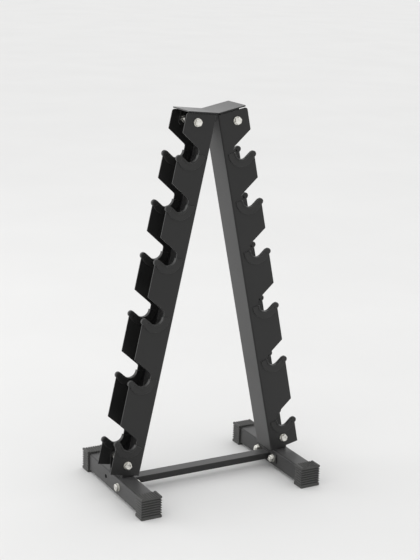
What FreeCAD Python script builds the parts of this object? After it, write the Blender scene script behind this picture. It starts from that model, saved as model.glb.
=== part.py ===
"""Free-standing dumbbell rack with six tiers of hooks on each side.

Two notched steel channels lean together under a folded top bracket. Each stands on a
square-tube foot with rubber end caps, and a flat crossbar ties the two feet. Every hook
has a soft U-section guard pushed over its steel edge.

Millimetres, +Z up, the front towards -Y. The origin is on the floor, midway between
the feet and midway between the front and the back.
"""
import FreeCAD, Part
import math
import os

from FreeCAD import Placement, Rotation, Vector

# Uprights: folded channels with their open side facing outwards
LEAN = 12.06                 # degrees from the vertical
UPRIGHT_LENGTH = 923.5
FLANGE = 82.0                # from the web's face to the flanges' outer edges
DEPTH = 78.5                 # outside to outside of the two flanges
SHEET = 2.5
BEND_RADIUS = 4.0            # outside of the fold between web and flange
WEB_TOP_X = 1.53             # the two webs nearly touch at the top
WEB_TOP_Z = 955.6
TOP_CORNER_RADIUS = 7.0
TOP_SPARE = 20.0             # steel above the top end until it is cut to the bracket's slope

# Hooks: distances below the top end, then shapes measured from each tooth's corner
FIRST_TOOTH = 56.5
TOOTH_PITCHES = (124.0, 134.0, 150.0, 160.0, 172.0)
TOOTH_SLOPE = 30.4           # degrees, the tooth's lower edge against the perpendicular
TOOTH_RADIUS = 1.6
SADDLE_IN = 34.0             # saddle's centre, inwards from the flange's outer edge
SADDLE_DROP = 48.5           # saddle's centre, below the tooth's corner
SADDLE_RADIUS = 20.5         # steel edge
THROAT_RADIUS = 8.0
TIP_RADIUS = 5.0             # rounded end of the steel horn
TIP_DROP = 62.5

# Saddle guards: soft U-section strips over the steel edge, with a ball on the horn
GUARD_WALL = 2.0             # thickness on the steel edge
GUARD_REACH = 38.0           # outer radius of the cheeks about the saddle's centre
GUARD_START = 45.5           # upper end, below the tooth's corner
CHEEK_SPAN = 7.7             # over both cheeks
RIM_SPAN = 11.0              # over the raised rim along the edge
RIM_WIDTH = 4.2
BALL_RADIUS = 8.2
BALL_IN = 4.0
BALL_DROP = 61.8
GUARD_ROUND = 1.3
BALL_ROUND = 3.5

# Guards that are not fully pushed on, as (lift, degrees turned round the saddle)
LOOSE_GUARDS = {("right", "front", 5): (7.0, 0.0), ("left", "front", 6): (4.5, 18.0)}

# Top bracket: a shallow, uneven valley over both upright tops, with cheeks in the flanges
BRACKET_SHEET = 3.0
BRACKET_DEPTH = 88.0         # a little more than the uprights'
BRACKET_CORNER = 3.0
FOLD_Z = 962.1               # upper face, at the fold between the wings
RIGHT_SLOPE = LEAN           # degrees up from the fold
RIGHT_REACH = 76.5           # from the fold to the wing's end
RIGHT_GAP = 3.7              # from the upright's top end to the wing
LEFT_SLOPE = 5.5
LEFT_REACH = 80.5
LEFT_GAP = 2.0
CHEEK_START = 10.0
CHEEK_END = 60.0
CHEEK_DEPTH = 42.5
CHEEK_RADIUS = 9.0

# Bolts through the flanges, as (out from the web's face, down from the top end)
TOP_BOLT = (48.7, 25.6)
LOW_BOLT = (40.0, 897.5)

# Feet
FOOT_TUBE = 45.0
FOOT_WALL = 2.0
FOOT_CORNER = 3.5
FOOT_LENGTH = 360.0          # over the end caps
SOLE = 6.5                   # rubber under the foot
CAP_WALL = 5.5               # rubber on its sides and top
CAP_END = 5.0
CAP_LENGTH = 34.0
CAP_CORNER = 2.2
RIB_PITCH = 6.5
RIB_COUNT = 8
GROOVE_WIDTH = 5.2           # V grooves, at the surface
GROOVE_DEPTH = 2.6

# Foot brackets: U plates on the feet, bolted inside the channels' flanges
FOOT_BRACKET_IN = 22.0       # from the bolt's centre towards the other foot
FOOT_BRACKET_OUT = 13.0
FOOT_BRACKET_TOP = 13.0      # above the bolt's centre, and the corners' radius
FOLD_RADIUS = 4.5            # outside of the folds

# Crossbar
BAR_WIDTH = 34.0
BAR_HEIGHT = 17.0
BAR_WALL = 1.5
BAR_CORNER = 2.5
BAR_Z = 30.0
END_PLATE = 3.0
END_PLATE_ENDS = (-49.0, 56.0)
END_PLATE_HEIGHT = 26.0
END_PLATE_CORNER = 3.0
BAR_BOLTS = (-34.0, 41.0)    # front and back

# M10 fasteners
BOLT_RADIUS = 5.0
HOLE_RADIUS = 5.5
HEAD_FLATS = 17.0
HEAD_HEIGHT = 6.4
NUT_HEIGHT = 8.4
NUT_BORE = 5.06
WASHER_RADIUS = 10.5
WASHER_BORE = 5.3
WASHER_THICKNESS = 2.0
THREAD_END = 3.5             # bolt standing out of its nut
SPIN_STEP = 23               # degrees from one hexagon to the next

# Worked out from the above
TUBE_HALF = FOOT_TUBE / 2
INNER_DEPTH = DEPTH - 2 * SHEET
FOOT_Z = SOLE + TUBE_HALF
FOOT_TOP = SOLE + FOOT_TUBE
TEETH = [FIRST_TOOTH + sum(TOOTH_PITCHES[:tier]) for tier in range(6)]


def world(out, down, y=0.0):
    """Point of the right upright from its distances off the web's face and top end."""
    lean = math.radians(LEAN)
    x = WEB_TOP_X + out * math.cos(lean) + down * math.sin(lean)
    return Vector(x, y, WEB_TOP_Z + out * math.sin(lean) - down * math.cos(lean))


FOOT_X = world(*LOW_BOLT).x


def lean_right(shape):
    """Move a shape from the upright's own axes, X outwards and Z up it, to its place."""
    moved = shape.copy()
    turn = Rotation(Vector(0, 1, 0), -LEAN)
    moved.Placement = Placement(world(0, 0), turn).multiply(moved.Placement)
    return moved


def mirror_x(shape):
    """The same piece on the left side."""
    return shape.mirror(Vector(0, 0, 0), Vector(1, 0, 0))


def mirror_y(shape):
    """The same piece at the back."""
    return shape.mirror(Vector(0, 0, 0), Vector(0, 1, 0))


def save(name, shapes):
    """Write one node's solids to its STEP file."""
    solids = shapes if isinstance(shapes, list) else [shapes]
    shape = solids[0] if len(solids) == 1 else Part.makeCompound(solids)
    shape.exportStep("parts/" + name + ".step")


def box(low, high):
    """Box between two corners."""
    size = high - low
    return Part.makeBox(size.x, size.y, size.z, low)


def centred_box(x, y, z, centre):
    """Box of the given size about a centre."""
    half = Vector(x / 2, y / 2, z / 2)
    return box(centre - half, centre + half)


def edges_along(shape, direction, test):
    """Straight edges parallel to a direction whose middle passes the test."""
    found = []
    for edge in shape.Edges:
        if edge.Curve.TypeId != "Part::GeomLine":
            continue
        parallel = edge.tangentAt(edge.FirstParameter).cross(direction).Length < 1e-6
        if parallel and test(edge.CenterOfMass):
            found.append(edge)
    return found


def round_edges(shape, radius, direction, test=lambda middle: True):
    """Round the edges that run along a direction."""
    return shape.makeFillet(radius, edges_along(shape, direction, test))


def polar(centre, radius, degrees):
    """Point on a circle in the XZ plane, counted from +X towards +Z."""
    angle = math.radians(degrees)
    return centre + Vector(radius * math.cos(angle), 0, radius * math.sin(angle))


def arc(centre, radius, start, end):
    """Arc in the XZ plane between two angles in degrees."""
    points = [polar(centre, radius, a) for a in (start, (start + end) / 2, end)]
    return Part.Arc(*points).toShape()


def line(start, end):
    """Straight edge."""
    return Part.LineSegment(start, end).toShape()


def plate(edges, thickness):
    """Plate of a closed outline in the XZ plane, centred on Y = 0."""
    face = Part.Face(Part.Wire(edges))
    solid = face.extrude(Vector(0, thickness, 0))
    solid.translate(Vector(0, -thickness / 2, 0))
    return solid


# ---- hooks: outlines with the tooth's corner at the origin, X outwards, Z up ----

SADDLE = Vector(-SADDLE_IN, 0, -SADDLE_DROP)


def cross_tangent(radius, tip, tip_radius):
    """Angle of the saddle point whose tangent also touches the far side of the tip."""
    offset = tip - SADDLE
    heading = math.degrees(math.atan2(offset.z, offset.x))
    return heading - math.degrees(math.acos((radius + tip_radius) / offset.Length))


def hook_cutter():
    """What one hook leaves open: slope, throat, saddle and the way out over the horn."""
    slope = math.radians(TOOTH_SLOPE)
    tip = Vector(-TIP_RADIUS, 0, -TIP_DROP)
    touch = cross_tangent(SADDLE_RADIUS, tip, TIP_RADIUS)
    back = SADDLE.x - SADDLE_RADIUS
    knee = Vector(back, 0, back * math.tan(slope))
    turn = 90.0 - TOOTH_SLOPE
    trim = THROAT_RADIUS * math.tan(math.radians(turn / 2))
    throat_start = knee + Vector(trim * math.cos(slope), 0, trim * math.sin(slope))
    throat_end = knee - Vector(0, 0, trim)
    throat = throat_end + Vector(THROAT_RADIUS, 0, 0)
    outside = 2 * BALL_RADIUS
    tip_side = polar(tip, TIP_RADIUS, 0)
    edges = [
        line(Vector(0, 0, 0), throat_start),
        arc(throat, THROAT_RADIUS, 180.0 - turn, 180.0),
        line(throat_end, polar(SADDLE, SADDLE_RADIUS, 180.0)),
        arc(SADDLE, SADDLE_RADIUS, 180.0, 360.0 + touch),
        line(polar(SADDLE, SADDLE_RADIUS, touch), polar(tip, TIP_RADIUS, touch + 180.0)),
        arc(tip, TIP_RADIUS, touch + 180.0, 0.0),
        line(tip_side, Vector(outside, 0, tip_side.z)),
        line(Vector(outside, 0, tip_side.z), Vector(outside, 0, 0)),
        line(Vector(outside, 0, 0), Vector(0, 0, 0)),
    ]
    return plate(edges, 2 * DEPTH)


def guard_edges(touch, ball, outer_end):
    """A guard's inner edge, from its upper end round the saddle to the ball."""
    inner = SADDLE_RADIUS - GUARD_WALL
    start = Vector(SADDLE.x - inner, 0, -GUARD_START)
    return [
        line(outer_end, start),
        line(start, polar(SADDLE, inner, 180.0)),
        arc(SADDLE, inner, 180.0, 360.0 + touch),
        line(polar(SADDLE, inner, touch), polar(ball, BALL_RADIUS, touch + 180.0)),
    ]


def cheek_plate(touch, ball):
    """Both cheeks as one plate, whose outer edge runs down from the ball's neck."""
    offset = ball - SADDLE
    heading = math.degrees(math.atan2(offset.z, offset.x))
    span = offset.Length
    along = (span ** 2 + GUARD_REACH ** 2 - BALL_RADIUS ** 2) / (2 * span)
    neck_turn = heading - math.degrees(math.acos(along / GUARD_REACH))
    neck = polar(SADDLE, GUARD_REACH, neck_turn)
    neck_angle = math.degrees(math.atan2(neck.z - ball.z, neck.x - ball.x))
    outer_start = polar(SADDLE, GUARD_REACH, -180.0)
    outer_end = Vector(outer_start.x, 0, -GUARD_START)
    edges = guard_edges(touch, ball, outer_end) + [
        arc(ball, BALL_RADIUS, touch + 180.0, neck_angle),
        arc(SADDLE, GUARD_REACH, neck_turn, -180.0),
        line(outer_start, outer_end),
    ]
    return plate(edges, CHEEK_SPAN)


def rim_plate(touch, ball):
    """Raised rim that follows the inner edge."""
    reach = SADDLE_RADIUS - GUARD_WALL + RIM_WIDTH
    outer_end = Vector(SADDLE.x - reach, 0, -GUARD_START)
    turned = polar(Vector(0, 0, 0), RIM_WIDTH, touch)
    ball_touch = polar(ball, BALL_RADIUS, touch + 180.0)
    edges = guard_edges(touch, ball, outer_end) + [
        line(ball_touch, ball_touch + turned),
        line(ball_touch + turned, polar(SADDLE, reach, touch)),
        arc(SADDLE, reach, touch, -180.0),
        line(polar(SADDLE, reach, 180.0), outer_end),
    ]
    return plate(edges, RIM_SPAN)


def round_faces(solid, radius):
    """Round every edge of a plate's front and back faces."""
    depth = solid.BoundBox.YMax
    rims = [edge for edge in solid.Edges if abs(abs(edge.CenterOfMass.y) - depth) < 1e-6]
    return solid.makeFillet(radius, rims)


def make_guard():
    """One guard at its tooth's origin: two cheeks, a raised rim and the horn's ball."""
    ball = Vector(-BALL_IN, 0, -BALL_DROP)
    touch = cross_tangent(SADDLE_RADIUS - GUARD_WALL, ball, BALL_RADIUS)
    knob = Part.makeCylinder(
        BALL_RADIUS, RIM_SPAN, ball - Vector(0, RIM_SPAN / 2, 0), Vector(0, 1, 0))
    cheeks = round_faces(cheek_plate(touch, ball), GUARD_ROUND)
    rim = round_faces(rim_plate(touch, ball), GUARD_ROUND)
    knob = round_faces(knob, BALL_ROUND)
    return cheeks.fuse([rim, knob]).removeSplitter().cut(steel_at_hook())


def steel_at_hook():
    """The flange's steel around one hook, which the guard's slot leaves room for."""
    reach = 2 * GUARD_REACH
    sheet = box(Vector(-reach, -SHEET / 2, -2 * reach), Vector(0, SHEET / 2, 0))
    return sheet.cut(hook_cutter())


def loosened(guard, lift, turn):
    """The guard lifted and turned round its saddle, with its slot widened to match."""
    moved = guard.copy()
    moved.rotate(SADDLE, Vector(0, -1, 0), turn)
    moved.translate(Vector(0, 0, lift))
    return moved.cut(steel_at_hook())


def make_guards():
    """All guards by node name, tier 1 at the top."""
    guard = make_guard()
    inset = (DEPTH - SHEET) / 2
    for face, y in (("front", -inset), ("back", inset)):
        for tier, drop in enumerate(TEETH, start=1):
            for side in ("left", "right"):
                loose = LOOSE_GUARDS.get((side, face, tier))
                placed = loosened(guard, *loose) if loose else guard.copy()
                placed.translate(Vector(FLANGE, y, -drop))
                placed = lean_right(placed)
                placed = mirror_x(placed) if side == "left" else placed
                yield f"saddle_guard_{side}_{face}_{tier}", placed


# ---- frame ----

def bolt_hole(out, down):
    """Drill through both flanges, in the upright's own axes."""
    start = Vector(out, -DEPTH, -down)
    return Part.makeCylinder(HOLE_RADIUS, 2 * DEPTH, start, Vector(0, 1, 0))


def above_wing(slope, drop):
    """Everything over one side of the bracket's upper face, lowered by a distance."""
    reach = 2 * FLANGE
    block = box(Vector(-reach, -reach, -drop), Vector(reach, reach, reach))
    block.Placement = wing_place(slope).multiply(block.Placement)
    return block


def wing_place(slope):
    """Placement of the bracket's right wing, whose fold lies along Y at its origin."""
    return Placement(Vector(0, 0, FOLD_Z), Rotation(Vector(0, 1, 0), -slope))


def make_upright(slope, gap):
    """Upright as on the right: a folded channel with six hooks cut into each flange."""
    half = DEPTH / 2
    outer = box(Vector(0, -half, -UPRIGHT_LENGTH), Vector(FLANGE, half, TOP_SPARE))
    outer = round_edges(outer, BEND_RADIUS, Vector(0, 0, 1), lambda p: p.x < 1)
    low = Vector(SHEET, SHEET - half, -UPRIGHT_LENGTH - 1)
    inner = box(low, Vector(FLANGE + 1, half - SHEET, TOP_SPARE + 1))
    inner = round_edges(inner, BEND_RADIUS - SHEET, Vector(0, 0, 1), lambda p: p.x < SHEET + 1)
    cutters = [inner, bolt_hole(*TOP_BOLT), bolt_hole(*LOW_BOLT)]
    for drop in TEETH:
        cutter = hook_cutter()
        cutter.translate(Vector(FLANGE, 0, -drop))
        cutters.append(cutter)
    channel = outer.cut(cutters)
    through = Vector(0, 1, 0)
    channel = round_edges(channel, TOOTH_RADIUS, through, is_tooth_corner)
    channel = lean_right(channel).cut(above_wing(slope, BRACKET_SHEET + gap))
    top = channel.BoundBox.ZMax
    return round_edges(channel, TOP_CORNER_RADIUS, through, lambda p: p.z > top - 0.1)


def is_tooth_corner(point):
    """True at the outer corner of any tooth, in the upright's own axes."""
    return point.x > FLANGE - 0.1 and min(abs(point.z + drop) for drop in TEETH) < 0.1


def make_wing(slope, reach):
    """One side of the top bracket as on the right, with a cheek inside each flange."""
    half = BRACKET_DEPTH / 2
    overlap = 3 * BRACKET_SHEET
    roof = box(Vector(-overlap, -half, -BRACKET_SHEET), Vector(reach, half, 0))
    roof = round_edges(roof, BRACKET_CORNER, Vector(0, 0, 1), lambda p: p.x > reach - 1)
    roof.Placement = wing_place(slope).multiply(roof.Placement)
    deep = INNER_DEPTH / 2
    low = Vector(CHEEK_START, -deep, -CHEEK_DEPTH)
    cheek = box(low, Vector(CHEEK_END, BRACKET_SHEET - deep, TOP_SPARE))
    cheek = round_edges(cheek, CHEEK_RADIUS, Vector(0, 1, 0), lambda p: p.z < 0)
    cheek = lean_right(cheek).cut(above_wing(slope, BRACKET_SHEET / 2))
    wing = roof.fuse([cheek, mirror_y(cheek)]).removeSplitter()
    wing = wing.cut(lean_right(bolt_hole(*TOP_BOLT)))
    far = 2 * WEB_TOP_Z
    return wing.common(box(Vector(0, -far, 0), Vector(far, far, far)))


def make_top_bracket():
    """Folded plate over both tops, with the left wing lying flatter than the right."""
    left = mirror_x(make_wing(LEFT_SLOPE, LEFT_REACH))
    return make_wing(RIGHT_SLOPE, RIGHT_REACH).fuse(left).removeSplitter()


def make_foot_tube():
    """Right foot: a square tube from front to back, drilled for the crossbar's bolts."""
    centre = Vector(FOOT_X, 0, FOOT_Z)
    length = FOOT_LENGTH - 2 * CAP_END
    bore = FOOT_TUBE - 2 * FOOT_WALL
    along = Vector(0, 1, 0)
    outer = centred_box(FOOT_TUBE, length, FOOT_TUBE, centre)
    outer = round_edges(outer, FOOT_CORNER, along)
    inner = centred_box(bore, length + 2, bore, centre)
    inner = round_edges(inner, FOOT_CORNER - FOOT_WALL, along)
    return outer.cut([inner] + bar_holes())


def bar_holes():
    """Drill along X for the crossbar's bolts, through foot and end plate."""
    start = FOOT_X - FOOT_TUBE
    return [
        Part.makeCylinder(HOLE_RADIUS, 2 * FOOT_TUBE, Vector(start, y, BAR_Z), Vector(1, 0, 0))
        for y in BAR_BOLTS
    ]


def make_foot_bracket():
    """Right foot's bracket: a U plate whose cheeks stand inside the channel's flanges."""
    bolt = world(*LOW_BOLT)
    deep = INNER_DEPTH / 2
    across, through = Vector(1, 0, 0), Vector(0, 1, 0)
    top = bolt.z + FOOT_BRACKET_TOP
    low = Vector(FOOT_X - FOOT_BRACKET_IN, -deep, FOOT_TOP)
    block = box(low, Vector(FOOT_X + FOOT_BRACKET_OUT, deep, top))
    block = round_edges(block, FOOT_BRACKET_TOP, through, lambda p: p.z > top - 1)
    block = round_edges(block, FOLD_RADIUS, across, lambda p: p.z < FOOT_TOP + 1)
    floor = FOOT_TOP + BRACKET_SHEET
    gap_low = Vector(FOOT_X - FOOT_TUBE, BRACKET_SHEET - deep, floor)
    gap = box(gap_low, Vector(FOOT_X + FOOT_TUBE, deep - BRACKET_SHEET, 2 * top))
    gap = round_edges(gap, FOLD_RADIUS - BRACKET_SHEET, across, lambda p: p.z < floor + 1)
    hole = Part.makeCylinder(HOLE_RADIUS, 4 * deep, Vector(bolt.x, -2 * deep, bolt.z), through)
    return block.cut([gap, hole])


def make_crossbar():
    """Flat tube between the two end plates."""
    length = 2 * (FOOT_X - TUBE_HALF - END_PLATE)
    centre = Vector(0, 0, BAR_Z)
    along = Vector(1, 0, 0)
    outer = round_edges(centred_box(length, BAR_WIDTH, BAR_HEIGHT, centre), BAR_CORNER, along)
    bore = centred_box(
        length + 2, BAR_WIDTH - 2 * BAR_WALL, BAR_HEIGHT - 2 * BAR_WALL, centre)
    return outer.cut(round_edges(bore, BAR_CORNER - BAR_WALL, along))


def make_end_plate():
    """Right end plate of the crossbar, flat against the foot's inner side."""
    front, back = END_PLATE_ENDS
    face = FOOT_X - TUBE_HALF
    low = Vector(face - END_PLATE, front, BAR_Z - END_PLATE_HEIGHT / 2)
    blank = box(low, Vector(face, back, BAR_Z + END_PLATE_HEIGHT / 2))
    blank = round_edges(blank, END_PLATE_CORNER, Vector(1, 0, 0))
    return blank.cut(bar_holes())


def make_foot_cap():
    """Right front cap: a rubber sleeve closed at the end, ribbed on all but its sole."""
    half = TUBE_HALF + CAP_WALL
    top = FOOT_TOP + CAP_WALL
    end = -FOOT_LENGTH / 2
    cap = box(Vector(FOOT_X - half, end, 0), Vector(FOOT_X + half, end + CAP_LENGTH, top))
    cap = round_edges(cap, CAP_CORNER, Vector(0, 1, 0))
    socket_low = Vector(FOOT_X - TUBE_HALF, end + CAP_END, SOLE)
    socket_high = Vector(FOOT_X + TUBE_HALF, end + CAP_LENGTH + 1, FOOT_TOP)
    socket = round_edges(box(socket_low, socket_high), FOOT_CORNER - 0.5, Vector(0, 1, 0))
    return cap.cut([socket] + cap_grooves(half, top, end))


def groove(start, inward, across, run):
    """V groove sunk inwards from a point on a surface and swept along a run."""
    deep = inward * GROOVE_DEPTH
    wide = across * GROOVE_WIDTH
    corners = [start + deep, start - deep - wide, start - deep + wide, start + deep]
    return Part.Face(Part.makePolygon(corners)).extrude(run)


def cap_grooves(half, top, end):
    """Grooves that leave the ribs: lengthwise on the sides and top, level on the end."""
    grooves = []
    across, back, up = Vector(1, 0, 0), Vector(0, 1, 0), Vector(0, 0, 1)
    outside = end - CAP_END
    for index in range(1, RIB_COUNT):
        shift = (index - RIB_COUNT / 2) * RIB_PITCH
        level = FOOT_Z + shift
        lengthwise = back * (2 * CAP_LENGTH)
        for side in (-1, 1):
            start = Vector(FOOT_X + side * half, outside, level)
            grooves.append(groove(start, across * -side, up, lengthwise))
        start = Vector(FOOT_X + shift, outside, top)
        grooves.append(groove(start, -up, across, lengthwise))
        start = Vector(FOOT_X - 2 * half, end, level)
        grooves.append(groove(start, back, up, across * (4 * half)))
    return grooves


# ---- fasteners, built along +Z with the clamped faces starting at Z = 0 ----

def hexagon(flats, height, base):
    """Hexagonal prism with the corners turned off at both ends."""
    across = flats / math.cos(math.radians(30))
    corners = [Vector(across / 2, 0, base)]
    turn = Rotation(Vector(0, 0, 1), 60)
    for _ in range(6):
        corners.append(turn.multVec(corners[-1]))
    corners[-1] = corners[0]
    prism = Part.Face(Part.makePolygon(corners)).extrude(Vector(0, 0, height))
    blank = Part.makeCylinder(across / 2, height, Vector(0, 0, base))
    rims = [edge for edge in blank.Edges if edge.Curve.TypeId == "Part::GeomCircle"]
    return prism.common(blank.makeChamfer((across - flats) / 2, rims))


def washer(base):
    """Flat washer lying on the given height."""
    disc = Part.makeCylinder(WASHER_RADIUS, WASHER_THICKNESS, Vector(0, 0, base))
    bore = Part.makeCylinder(WASHER_BORE, WASHER_THICKNESS, Vector(0, 0, base))
    return disc.cut(bore)


def bolt(grip):
    """Hex-head bolt over an outer washer, ending a little past its nut."""
    head = hexagon(HEAD_FLATS, HEAD_HEIGHT, -WASHER_THICKNESS - HEAD_HEIGHT)
    end = grip + NUT_HEIGHT + THREAD_END
    length = end + WASHER_THICKNESS
    shank = Part.makeCylinder(BOLT_RADIUS, length, Vector(0, 0, -WASHER_THICKNESS))
    tip = [edge for edge in shank.Edges if edge.CenterOfMass.z > end - 0.1]
    return head.fuse(shank.makeChamfer(1.0, tip)).removeSplitter()


def nut(grip):
    """Hexagonal nut on the far side of the clamped stack."""
    bore = Part.makeCylinder(NUT_BORE, NUT_HEIGHT + 2, Vector(0, 0, grip - 1))
    return hexagon(HEAD_FLATS, NUT_HEIGHT, grip).cut(bore)


def bolted(point, inward, grip, inner_washer, spin):
    """Bolt, washers and nut of one fastening, set at a point and turned inwards."""
    if inner_washer:
        stack = grip + WASHER_THICKNESS
        washers = [washer(-WASHER_THICKNESS), washer(grip)]
    else:
        stack = grip
        washers = [washer(-WASHER_THICKNESS)]
    turn = Rotation(Vector(0, 0, 1), inward).multiply(Rotation(Vector(0, 0, 1), spin))
    pieces = {"bolts": [bolt(stack)], "washers": washers, "nuts": [nut(stack)]}
    for shapes in pieces.values():
        for shape in shapes:
            shape.Placement = Placement(point, turn)
    return pieces


def flange_fastenings(hole):
    """The four fastenings that hold both uprights at one of their bolt holes."""
    grip = SHEET + BRACKET_SHEET
    spin = 0
    for side in (-1, 1):
        for face in (-1, 1):
            spin += SPIN_STEP
            point = world(*hole)
            point.x *= side
            point.y = face * DEPTH / 2
            yield bolted(point, Vector(0, -face, 0), grip, False, spin)


def bar_fastenings():
    """The crossbar's fastenings; the left foot's rear hole has none."""
    grip = FOOT_TUBE + END_PLATE
    spin = 0
    front, back = BAR_BOLTS
    for side, y in ((-1, front), (1, front), (1, back)):
        spin += SPIN_STEP
        point = Vector(side * (FOOT_X + TUBE_HALF), y, BAR_Z)
        yield bolted(point, Vector(-side, 0, 0), grip, True, spin)


def save_fastenings(place, fastenings):
    """One node each for a place's bolts, washers and nuts."""
    groups = {"bolts": [], "washers": [], "nuts": []}
    for pieces in fastenings:
        for kind, shapes in pieces.items():
            groups[kind] += shapes
    for kind, shapes in groups.items():
        save(f"{place}_{kind}", shapes)


def save_pair(name, right):
    """A piece and its mirror image on the left."""
    save(name + "_right", right)
    save(name + "_left", mirror_x(right))


def main():
    os.makedirs("parts", exist_ok=True)
    save("upright_right", make_upright(RIGHT_SLOPE, RIGHT_GAP))
    save("upright_left", mirror_x(make_upright(LEFT_SLOPE, LEFT_GAP)))
    save("top_bracket", make_top_bracket())
    save_pair("foot_tube", make_foot_tube())
    save_pair("foot_bracket", make_foot_bracket())
    save("crossbar_tube", make_crossbar())
    save_pair("crossbar_end_plate", make_end_plate())
    cap = make_foot_cap()
    save_pair("foot_cap_front", cap)
    save_pair("foot_cap_back", mirror_y(cap))
    for name, guard in make_guards():
        save(name, guard)
    save_fastenings("top", flange_fastenings(TOP_BOLT))
    save_fastenings("lower", flange_fastenings(LOW_BOLT))
    save_fastenings("crossbar", bar_fastenings())


main()
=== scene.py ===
"""Looks of a free-standing dumbbell rack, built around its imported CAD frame.

Metres, in the CAD frame: +Z up, the front towards -Y. Sheet and tube get the small edge
rounds that their coating leaves, and the fasteners get real threads.
"""

import math

import bmesh
import bpy
from mathutils import Matrix, Vector


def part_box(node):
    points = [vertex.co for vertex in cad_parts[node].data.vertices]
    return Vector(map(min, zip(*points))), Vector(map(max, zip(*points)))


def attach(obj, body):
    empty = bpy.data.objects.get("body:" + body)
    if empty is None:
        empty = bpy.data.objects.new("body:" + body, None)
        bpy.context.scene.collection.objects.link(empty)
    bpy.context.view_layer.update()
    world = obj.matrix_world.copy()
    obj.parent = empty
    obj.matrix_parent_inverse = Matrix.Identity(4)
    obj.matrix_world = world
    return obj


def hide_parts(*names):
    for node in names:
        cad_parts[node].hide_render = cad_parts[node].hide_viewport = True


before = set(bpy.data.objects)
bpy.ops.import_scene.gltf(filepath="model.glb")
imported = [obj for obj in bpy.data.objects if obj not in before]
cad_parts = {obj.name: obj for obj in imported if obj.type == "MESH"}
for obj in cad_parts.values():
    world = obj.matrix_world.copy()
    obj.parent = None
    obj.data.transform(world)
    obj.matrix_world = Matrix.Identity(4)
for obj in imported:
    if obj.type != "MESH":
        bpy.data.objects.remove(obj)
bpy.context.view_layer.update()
MM = 0.001

# Edge rounds
COATED_ROUND = 0.45 * MM         # powder coat over a cut sheet edge
RIB_ROUND = 0.5 * MM             # moulded rubber rib
SHARP_EDGE = math.radians(32)    # steeper folds than this count as edges
FLAT_FACES = math.radians(0.5)
MERGE_DISTANCE = 0.002 * MM

# Painted shade in the grooves of the ribbed caps
GROOVE_DEPTH = 2.6 * MM
# Name of the mask for the shade painted into the caps' grooves
GROOVE_SHADE_ATTRIBUTE = "groove_shade_mask"                    # the value on each point of a cap's mesh

# M10 fasteners
HEAD_FLATS = 17.0 * MM
HEAD_HEIGHT = 6.4 * MM
HEAD_SEAT = 0.5 * MM             # washer face under the head
HEAD_DISH = 0.35 * MM
HEX_CORNER = 0.3 * MM            # fall of the hexagon above its washer face
CHAMFER_CIRCLE = HEAD_FLATS / 2 * 0.93
CHAMFER_FALL = (HEAD_FLATS / 2 - CHAMFER_CIRCLE) * 0.5
CHAMFER_SLOPE = math.tan(math.radians(30))
THREAD_START = 0.45              # share of the shank that is plain
THREAD_RADIUS = 4.98 * MM
THREAD_DEPTH = 0.75 * MM
THREAD_PITCH = 1.5 * MM
THREAD_STEPS = 6                 # rings in one pitch
TIP_CHAMFER = 1.0 * MM
WASHER_ROUND = 0.3 * MM
NUT_COUNTERSINK = 0.45 * MM
TURN_STEPS = 48                  # points around a turned piece
SPIN = math.radians(23)          # from one hexagon to the next

# Welds
BEAD_RADIUS = 2.1 * MM
BEAD_RIPPLE = 0.28 * MM
BEAD_PITCH = 2.6 * MM
BEAD_SIDES = 12
BEAD_RINGS = 4                   # in one ripple
BRACKET_INSET = 0.16             # share of the bracket left without weld at each end
BAR_MARGIN = 2.5 * MM            # corner of the crossbar left without weld

# Camera
AZIMUTH = math.radians(-28.92)
ELEVATION = math.radians(15.06)
ROLL = math.radians(1.71)
TARGET = Vector((0.0137, 0.0, 0.5328))
DISTANCE = 3.339
LENS = 84.98

# Studio
FLOOR_SIZE = 80.0
SKY_STRENGTH = 1.03
LIT_POINT = Vector((0, 0, 0.45))


# ---- materials ----

def new_material(name):
    """Empty node material with its shader and its position in metres."""
    material = bpy.data.materials.new(name)
    material.use_nodes = True
    nodes = material.node_tree.nodes
    place = nodes.new("ShaderNodeTexCoord")
    return material, nodes, material.node_tree.links, place.outputs["Object"]


def noise(nodes, links, place, scale, detail=2.0):
    """Noise value at a scale given in cells per metre."""
    node = nodes.new("ShaderNodeTexNoise")
    node.inputs["Scale"].default_value = scale
    node.inputs["Detail"].default_value = detail
    links.new(place, node.inputs["Vector"])
    return node.outputs["Fac"]


def spread(nodes, links, value, low, high, dark=0.3, light=0.7):
    """A noise value stretched onto a range of numbers."""
    node = nodes.new("ShaderNodeMapRange")
    node.inputs["From Min"].default_value = dark
    node.inputs["From Max"].default_value = light
    node.inputs["To Min"].default_value = low
    node.inputs["To Max"].default_value = high
    links.new(value, node.inputs["Value"])
    return node.outputs["Result"]


def tint(nodes, links, value, dark, light):
    """A noise value turned into a colour between two others."""
    node = nodes.new("ShaderNodeValToRGB")
    node.color_ramp.elements[0].position = 0.3
    node.color_ramp.elements[1].position = 0.7
    node.color_ramp.elements[0].color = (*dark, 1)
    node.color_ramp.elements[1].color = (*light, 1)
    links.new(value, node.inputs["Fac"])
    return node.outputs["Color"]


def bump(nodes, links, height, depth, under=None):
    """Bump of a height value, on top of another bump if one is given."""
    node = nodes.new("ShaderNodeBump")
    node.inputs["Distance"].default_value = depth
    links.new(height, node.inputs["Height"])
    if under is not None:
        links.new(under, node.inputs["Normal"])
    return node.outputs["Normal"]


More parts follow.
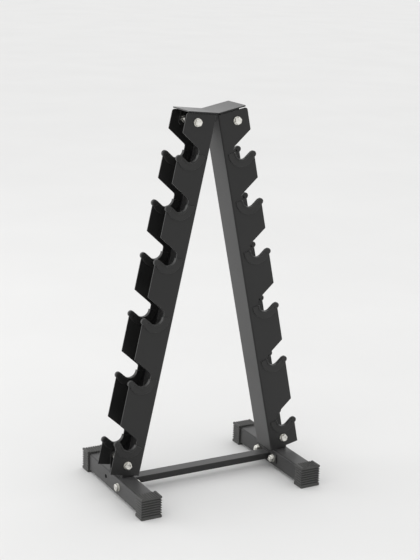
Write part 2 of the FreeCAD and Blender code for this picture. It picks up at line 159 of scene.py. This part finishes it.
def powder_coat():
    """Satin black powder coat: fine orange peel with a slow drift in gloss."""
    material, nodes, links, place = new_material("powder_coat_black")
    shader = nodes["Principled BSDF"]
    cloud = noise(nodes, links, place, 9.0, 3.0)
    peel = noise(nodes, links, place, 620.0, 2.0)
    grain = noise(nodes, links, place, 2600.0, 1.0)
    links.new(tint(nodes, links, cloud, (0.0045, 0.0045, 0.0044), (0.0070, 0.0070, 0.0068)),
              shader.inputs["Base Color"])
    links.new(spread(nodes, links, cloud, 0.35, 0.42), shader.inputs["Roughness"])
    fine = bump(nodes, links, grain, 0.012 * MM)
    links.new(bump(nodes, links, peel, 0.045 * MM, fine), shader.inputs["Normal"])
    shader.inputs["Specular IOR Level"].default_value = 0.36
    shader.inputs["Sheen Weight"].default_value = 0.22
    shader.inputs["Sheen Roughness"].default_value = 0.5
    return material


def rubber(name, dark, light, roughness, grain_scale, grain_depth, dust, groove_shade_colour=None):
    """Matt moulded rubber with a fine skin, some dust, and painted shade darkening the grooves
    where it has ribs.
    """
    material, nodes, links, place = new_material(name)
    shader = nodes["Principled BSDF"]
    cloud = noise(nodes, links, place, 40.0, 4.0)
    skin = noise(nodes, links, place, grain_scale, 3.0)
    colour = tint(nodes, links, cloud, dark, light)
    # Painted shade: the grooves are mixed towards a near-black colour by the groove mask
    if groove_shade_colour:
        groove_shade_mask = nodes.new("ShaderNodeAttribute")
        groove_shade_mask.attribute_name = GROOVE_SHADE_ATTRIBUTE
        mixed = nodes.new("ShaderNodeMix")
        mixed.data_type = "RGBA"
        mixed.inputs["A"].default_value = (*groove_shade_colour, 1)
        links.new(groove_shade_mask.outputs["Fac"], mixed.inputs["Factor"])
        links.new(colour, mixed.inputs["B"])
        colour = mixed.outputs["Result"]
    links.new(colour, shader.inputs["Base Color"])
    links.new(spread(nodes, links, skin, roughness - 0.05, roughness + 0.05),
              shader.inputs["Roughness"])
    links.new(bump(nodes, links, skin, grain_depth), shader.inputs["Normal"])
    shader.inputs["Specular IOR Level"].default_value = 0.45
    shader.inputs["Sheen Weight"].default_value = dust
    shader.inputs["Sheen Roughness"].default_value = 0.5
    return material


def zinc_plate():
    """Bright zinc plating, a little warm, with fine crystals and duller patches."""
    material, nodes, links, place = new_material("zinc_plate")
    shader = nodes["Principled BSDF"]
    patches = noise(nodes, links, place, 260.0, 4.0)
    crystals = nodes.new("ShaderNodeTexVoronoi")
    crystals.inputs["Scale"].default_value = 1400.0
    links.new(place, crystals.inputs["Vector"])
    links.new(tint(nodes, links, patches, (0.66, 0.65, 0.60), (0.86, 0.85, 0.81)),
              shader.inputs["Base Color"])
    links.new(spread(nodes, links, patches, 0.24, 0.42), shader.inputs["Roughness"])
    links.new(bump(nodes, links, crystals.outputs["Distance"], 0.02 * MM),
              shader.inputs["Normal"])
    shader.inputs["Metallic"].default_value = 1.0
    return material


def studio_floor():
    """Matt white studio paper with faint unevenness."""
    material, nodes, links, place = new_material("studio_paper")
    shader = nodes["Principled BSDF"]
    cloud = noise(nodes, links, place, 1.5, 3.0)
    links.new(tint(nodes, links, cloud, (0.79, 0.79, 0.785), (0.81, 0.81, 0.805)),
              shader.inputs["Base Color"])
    shader.inputs["Roughness"].default_value = 0.9
    shader.inputs["Specular IOR Level"].default_value = 0.1
    return material


FINISHES = {
    "powder_coat": powder_coat(),
    "guard_rubber": rubber("guard_rubber_black", (0.005, 0.005, 0.0048),
                           (0.008, 0.008, 0.0076), 0.46, 1500.0, 0.02 * MM, 0.12),
    # The caps' grooves get painted shade in near black
    "cap_rubber": rubber("cap_rubber_black", (0.044, 0.044, 0.042), (0.058, 0.058, 0.055),
                         0.50, 1100.0, 0.02 * MM, 0.0, groove_shade_colour=(0.002, 0.002, 0.002)),
    "zinc": zinc_plate(),
}


# ---- pieces ----

def add_piece(name, mesh, slot):
    """Put a finished mesh on the rack with the material of a slot."""
    mesh.materials.clear()
    mesh.materials.append(FINISHES[slot])
    piece = bpy.data.objects.new(name, mesh)
    bpy.context.scene.collection.objects.link(piece)
    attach(piece, "root")
    return piece


def mesh_from(bm, name):
    """Mesh of a bmesh, with every face shaded smooth."""
    bmesh.ops.recalc_face_normals(bm, faces=bm.faces)
    mesh = bpy.data.meshes.new(name)
    bm.to_mesh(mesh)
    bm.free()
    mesh.polygons.foreach_set("use_smooth", [True] * len(mesh.polygons))
    return mesh


def whole_faces(node):
    """A CAD node's mesh with its seams merged and its flat faces in one piece."""
    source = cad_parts[node].data
    bm = bmesh.new()
    bm.from_mesh(source)
    bmesh.ops.remove_doubles(bm, verts=bm.verts, dist=MERGE_DISTANCE)
    bmesh.ops.dissolve_limit(bm, angle_limit=FLAT_FACES, verts=bm.verts, edges=bm.edges)
    return bm


def rounded_copy(node, name, slot, radius):
    """Stand-in for a CAD node with its sharp edges rounded inwards."""
    bm = whole_faces(node)
    sharp = [e for e in bm.edges
             if len(e.link_faces) == 2 and e.calc_face_angle(0) > SHARP_EDGE]
    bmesh.ops.bevel(bm, geom=sharp, offset=radius, segments=2, profile=0.5,
                    affect="EDGES", clamp_overlap=True)
    mesh = mesh_from(bm, name)
    piece = add_piece(name, mesh, slot)
    weighted = piece.modifiers.new("weighted_normals", "WEIGHTED_NORMAL")
    weighted.keep_sharp = True
    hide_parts(node)
    return piece


def mark_groove_shade(mesh):
    """Mask of the painted shade in a ribbed cap's grooves: 1 on its outer faces, falling to 0
    at the grooves' bottoms, where the near-black groove colour is painted.
    """
    low, high = [Vector([pick(v.co[i] for v in mesh.vertices) for i in range(3)])
                 for pick in (min, max)]
    groove_shade_mask = mesh.attributes.new(GROOVE_SHADE_ATTRIBUTE, "FLOAT", "POINT")
    for vertex in mesh.vertices:
        inside = min(min(vertex.co[i] - low[i], high[i] - vertex.co[i]) for i in range(3))
        groove_shade_mask.data[vertex.index].value = max(0.0, 1 - inside / GROOVE_DEPTH)


def solids_of(node):
    """Lowest and highest corners of each separate solid in a CAD node."""
    bm = bmesh.new()
    bm.from_mesh(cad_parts[node].data)
    bmesh.ops.remove_doubles(bm, verts=bm.verts, dist=MERGE_DISTANCE)
    left = set(bm.verts)
    boxes = []
    while left:
        front = [left.pop()]
        found = list(front)
        while front:
            near = [e.other_vert(v) for v in front for e in v.link_edges]
            front = [v for v in set(near) if v in left]
            left.difference_update(front)
            found += front
        low = Vector([min(v.co[i] for v in found) for i in range(3)])
        high = Vector([max(v.co[i] for v in found) for i in range(3)])
        boxes.append((low, high))
    bm.free()
    return sorted(boxes, key=lambda b: (round(b[0].x, 3), round(b[0].y, 3)))


# ---- fasteners, turned about +Z from the outside inwards ----

def hexagon_radius(angle):
    """Distance from the axis to a hexagon's edge at an angle."""
    folded = (angle + math.pi / 6) % (math.pi / 3) - math.pi / 6
    return HEAD_FLATS / 2 / math.cos(folded)


def turned(bm, rings, place):
    """Add a closed solid whose rings are functions of the angle giving (radius, height)."""
    loops = []
    for ring in rings:
        loop = []
        for step in range(TURN_STEPS):
            angle = 2 * math.pi * step / TURN_STEPS
            radius, height = ring(angle)
            point = Vector((radius * math.cos(angle), radius * math.sin(angle), height))
            loop.append(bm.verts.new(place @ point))
        loops.append(loop)
    for low, high in zip(loops, loops[1:]):
        for step in range(TURN_STEPS):
            after = (step + 1) % TURN_STEPS
            bm.faces.new((low[step], low[after], high[after], high[step]))
    return loops


def close_end(bm, loop):
    """Fan over the end of a turned solid."""
    middle = bm.verts.new(sum((v.co for v in loop), Vector()) / len(loop))
    for step, vert in enumerate(loop):
        bm.faces.new((vert, loop[(step + 1) % len(loop)], middle))


def level(radius, height):
    """Plain circle."""
    return lambda angle: (radius, height)


def hexagon(height, drop):
    """Hexagon whose corners fall away from a height, as the chamfer cuts them."""
    def ring(angle):
        over = hexagon_radius(angle) - HEAD_FLATS / 2
        return hexagon_radius(angle), height + drop * over
    return ring


def thread_ring(height, end):
    """Ring of a helical thread, run out to its root at the end's chamfer."""
    def ring(angle):
        turn = height / THREAD_PITCH - angle / (2 * math.pi)
        crest = abs((turn % 1.0) * 2 - 1)
        radius = THREAD_RADIUS - THREAD_DEPTH * crest
        return min(radius, THREAD_RADIUS - TIP_CHAMFER + (end - height)), height
    return ring


def bolt(bm, place, length):
    """Hex-head bolt with its head's top at Z = 0 and a thread at its end."""
    seat = HEAD_HEIGHT - HEAD_SEAT
    thread_start = HEAD_HEIGHT + (length - HEAD_HEIGHT) * THREAD_START
    steps = round((length - thread_start) / THREAD_PITCH * THREAD_STEPS)
    rings = [
        level(CHAMFER_CIRCLE * 0.62, HEAD_DISH),
        level(CHAMFER_CIRCLE * 0.72, 0.0),
        level(CHAMFER_CIRCLE, 0.0),
        hexagon(CHAMFER_FALL, CHAMFER_SLOPE),
        hexagon(seat - HEX_CORNER, 0.0),
        level(HEAD_FLATS / 2 * 0.96, seat),
        level(HEAD_FLATS / 2 * 0.94, HEAD_HEIGHT),
        level(THREAD_RADIUS, HEAD_HEIGHT),
        level(THREAD_RADIUS, thread_start - THREAD_DEPTH),
    ]
    for step in range(steps + 1):
        height = thread_start + (length - thread_start) * step / steps
        rings.append(thread_ring(height, length))
    loops = turned(bm, rings, place)
    close_end(bm, loops[0])
    close_end(bm, loops[-1])


def nut(bm, place, height):
    """Hexagon nut chamfered on both faces, with a plain bore."""
    mouth = THREAD_RADIUS + 0.5 * MM
    bore = THREAD_RADIUS + 0.05 * MM
    rings = [
        level(bore, NUT_COUNTERSINK),
        level(mouth, 0.0),
        level(CHAMFER_CIRCLE, 0.0),
        hexagon(CHAMFER_FALL, CHAMFER_SLOPE),
        hexagon(height - CHAMFER_FALL, -CHAMFER_SLOPE),
        level(CHAMFER_CIRCLE, height),
        level(mouth, height),
        level(bore, height - NUT_COUNTERSINK),
        level(bore, NUT_COUNTERSINK),
    ]
    turned(bm, rings, place)


def washer(bm, place, radius, height):
    """Punched washer: one edge rounded by the punch, the other left almost sharp."""
    bore = THREAD_RADIUS + 0.3 * MM
    rings = [
        level(bore, WASHER_ROUND / 2),
        level(bore + WASHER_ROUND / 2, 0.0),
        level(radius - 2 * WASHER_ROUND, 0.0),
        level(radius - WASHER_ROUND / 2, WASHER_ROUND / 2),
        level(radius, 2 * WASHER_ROUND),
        level(radius, height - WASHER_ROUND / 2),
        level(radius - WASHER_ROUND / 2, height),
        level(bore, height),
        level(bore, WASHER_ROUND / 2),
    ]
    turned(bm, rings, place)


def fastener_place(low, high, axis, spin):
    """Matrix that lays +Z along an axis of the frame, pointing inwards from the outside."""
    centre = (low + high) / 2
    inward = Vector((0, 0, 0))
    inward[axis] = -math.copysign(1.0, centre[axis])
    start = centre.copy()
    start[axis] = low[axis] if inward[axis] > 0 else high[axis]
    turn = inward.to_track_quat("Z", "Y").to_matrix().to_4x4()
    return Matrix.Translation(start) @ turn @ Matrix.Rotation(spin, 4, "Z")


def fasteners(node, name, axis, build):
    """Stand-in for a node of like fasteners, each built in its own solid's place."""
    bm = bmesh.new()
    for index, (low, high) in enumerate(solids_of(node)):
        place = fastener_place(low, high, axis, SPIN * (index + 1))
        build(bm, place, low, high)
    bmesh.ops.remove_doubles(bm, verts=bm.verts, dist=MERGE_DISTANCE)
    mesh = mesh_from(bm, name)
    mesh.set_sharp_from_angle(angle=SHARP_EDGE)
    piece = add_piece(name, mesh, "zinc")
    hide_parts(node)


def build_fasteners():
    """Bolts, washers and nuts at the top, at the feet and at the crossbar."""
    for place, axis in (("top", 1), ("lower", 1), ("crossbar", 0)):
        def make_bolt(bm, matrix, low, high):
            bolt(bm, matrix, high[axis] - low[axis])

        def make_nut(bm, matrix, low, high):
            nut(bm, matrix, high[axis] - low[axis])

        def make_washer(bm, matrix, low, high):
            washer(bm, matrix, (high.z - low.z) / 2, high[axis] - low[axis])

        fasteners(f"{place}_bolts", f"{place}_hex_bolts", axis, make_bolt)
        fasteners(f"{place}_nuts", f"{place}_hex_nuts", axis, make_nut)
        fasteners(f"{place}_washers", f"{place}_flat_washers", axis, make_washer)


# ---- welds ----

def bead(bm, start, end, flat_a, flat_b):
    """Rippled fillet bead along a line, between two surfaces facing flat_a and flat_b."""
    along = end - start
    length = along.length
    along.normalize()
    rings = round(length / BEAD_PITCH * BEAD_RINGS)
    loops = []
    for index in range(rings + 1):
        distance = length * index / rings
        wave = math.sin(2 * math.pi * distance / BEAD_PITCH)
        taper = min(1.0, math.sqrt(min(distance, length - distance) / BEAD_RADIUS + 0.04))
        radius = (BEAD_RADIUS + BEAD_RIPPLE * wave) * taper
        loop = []
        for side in range(BEAD_SIDES):
            angle = 2 * math.pi * side / BEAD_SIDES
            offset = flat_a * (radius * math.cos(angle)) + flat_b * (radius * math.sin(angle))
            lag = along * (BEAD_RIPPLE * 2 * max(0.0, math.cos(angle - math.pi / 4)))
            loop.append(bm.verts.new(start + along * distance + offset + lag))
        loops.append(loop)
    for low, high in zip(loops, loops[1:]):
        for side in range(BEAD_SIDES):
            after = (side + 1) % BEAD_SIDES
            bm.faces.new((low[side], low[after], high[after], high[side]))
    close_end(bm, loops[0])
    close_end(bm, loops[-1])


def build_welds():
    """Beads that join the foot brackets to the feet and the crossbar to its end plates."""
    up = Vector((0, 0, 1))
    bar_low, bar_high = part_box("crossbar_tube")
    for side, sign in (("left", -1), ("right", 1)):
        low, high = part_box(f"foot_bracket_{side}")
        bm = bmesh.new()
        inset = (high.y - low.y) * BRACKET_INSET
        for x, out in ((low.x, -1), (high.x, 1)):
            start = Vector((x, low.y + inset, low.z))
            end = Vector((x, high.y - inset, low.z))
            bead(bm, start, end, Vector((out, 0, 0)), up)
        add_piece(f"foot_bracket_weld_{side}", mesh_from(bm, "weld"), "powder_coat")

        x = bar_high.x * sign
        inward = Vector((-sign, 0, 0))
        bm = bmesh.new()
        for z, out in ((bar_low.z, -1), (bar_high.z, 1)):
            start = Vector((x, bar_low.y + BAR_MARGIN, z))
            end = Vector((x, bar_high.y - BAR_MARGIN, z))
            bead(bm, start, end, inward, up * out)
        for y, out in ((bar_low.y, -1), (bar_high.y, 1)):
            start = Vector((x, y, bar_low.z + BAR_MARGIN))
            end = Vector((x, y, bar_high.z - BAR_MARGIN))
            bead(bm, start, end, inward, Vector((0, out, 0)))
        add_piece(f"crossbar_weld_{side}", mesh_from(bm, "weld"), "powder_coat")


# ---- the rack ----

def build_rack():
    """Every piece of the rack in its finished form."""
    for side in ("left", "right"):
        rounded_copy(f"upright_{side}", f"{side}_upright_channel", "powder_coat", COATED_ROUND)
        rounded_copy(f"foot_bracket_{side}", f"{side}_foot_bracket", "powder_coat",
                     COATED_ROUND)
        rounded_copy(f"foot_tube_{side}", f"{side}_foot", "powder_coat", COATED_ROUND)
        rounded_copy(f"crossbar_end_plate_{side}", f"{side}_end_plate", "powder_coat",
                     COATED_ROUND)
        for end in ("front", "back"):
            cap = rounded_copy(f"foot_cap_{end}_{side}", f"{side}_{end}_foot_cap",
                               "cap_rubber", RIB_ROUND)
            # Paint shade into the grooves of each cap
            mark_groove_shade(cap.data)
    rounded_copy("top_bracket", "folded_top_bracket", "powder_coat", COATED_ROUND)
    rounded_copy("crossbar_tube", "crossbar", "powder_coat", COATED_ROUND)
    build_fasteners()
    build_welds()
    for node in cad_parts.values():
        for slot in node.material_slots:
            slot.material = FINISHES[slot.material.name.split(".")[0]]


# ---- studio ----

def add_area_light(name, place, size, power):
    """White softbox, its size in metres and its power in watts, aimed at the rack."""
    light = bpy.data.lights.new(name, "AREA")
    light.shape = "RECTANGLE"
    light.size, light.size_y = size
    light.energy = power
    lamp = bpy.data.objects.new(name, light)
    lamp.location = place
    aim = LIT_POINT - Vector(place)
    lamp.rotation_euler = aim.to_track_quat("-Z", "Y").to_euler()
    lamp.visible_camera = False
    bpy.context.scene.collection.objects.link(lamp)


def build_studio():
    """White paper floor, an even pale surround and soft lamps."""
    mesh = bpy.data.meshes.new("floor")
    half = FLOOR_SIZE / 2
    corners = [(-half, -half, 0), (half, -half, 0), (half, half, 0), (-half, half, 0)]
    mesh.from_pydata(corners, [], [(0, 1, 2, 3)])
    mesh.materials.append(studio_floor())
    floor = bpy.data.objects.new("studio_floor", mesh)
    bpy.context.scene.collection.objects.link(floor)

    world = bpy.data.worlds.new("studio")
    world.use_nodes = True
    sky = world.node_tree.nodes["Background"]
    sky.inputs["Color"].default_value = (1.0, 1.0, 1.0, 1)
    sky.inputs["Strength"].default_value = SKY_STRENGTH
    bpy.context.scene.world = world
    bpy.context.scene.view_settings.view_transform = "Standard"

    add_area_light("overhead", (-0.1, 0.3, 3.2), (1.6, 1.6), 4)
    add_area_light("side", (-3.4, 2.6, 1.1), (2.4, 2.2), 40)


def add_camera():
    """Camera above and to the left of the rack's front."""
    back = Vector((
        math.sin(AZIMUTH) * math.cos(ELEVATION),
        -math.cos(AZIMUTH) * math.cos(ELEVATION),
        math.sin(ELEVATION),
    ))
    camera = bpy.data.cameras.new("camera")
    camera.lens = LENS
    camera.clip_end = 2 * FLOOR_SIZE
    eye = bpy.data.objects.new("camera", camera)
    eye.location = TARGET + back * DISTANCE
    turn = back.to_track_quat("Z", "Y").to_matrix() @ Matrix.Rotation(ROLL, 3, "Z")
    eye.rotation_euler = turn.to_euler()
    bpy.context.scene.collection.objects.link(eye)
    bpy.context.scene.camera = eye


build_rack()
build_studio()
add_camera()
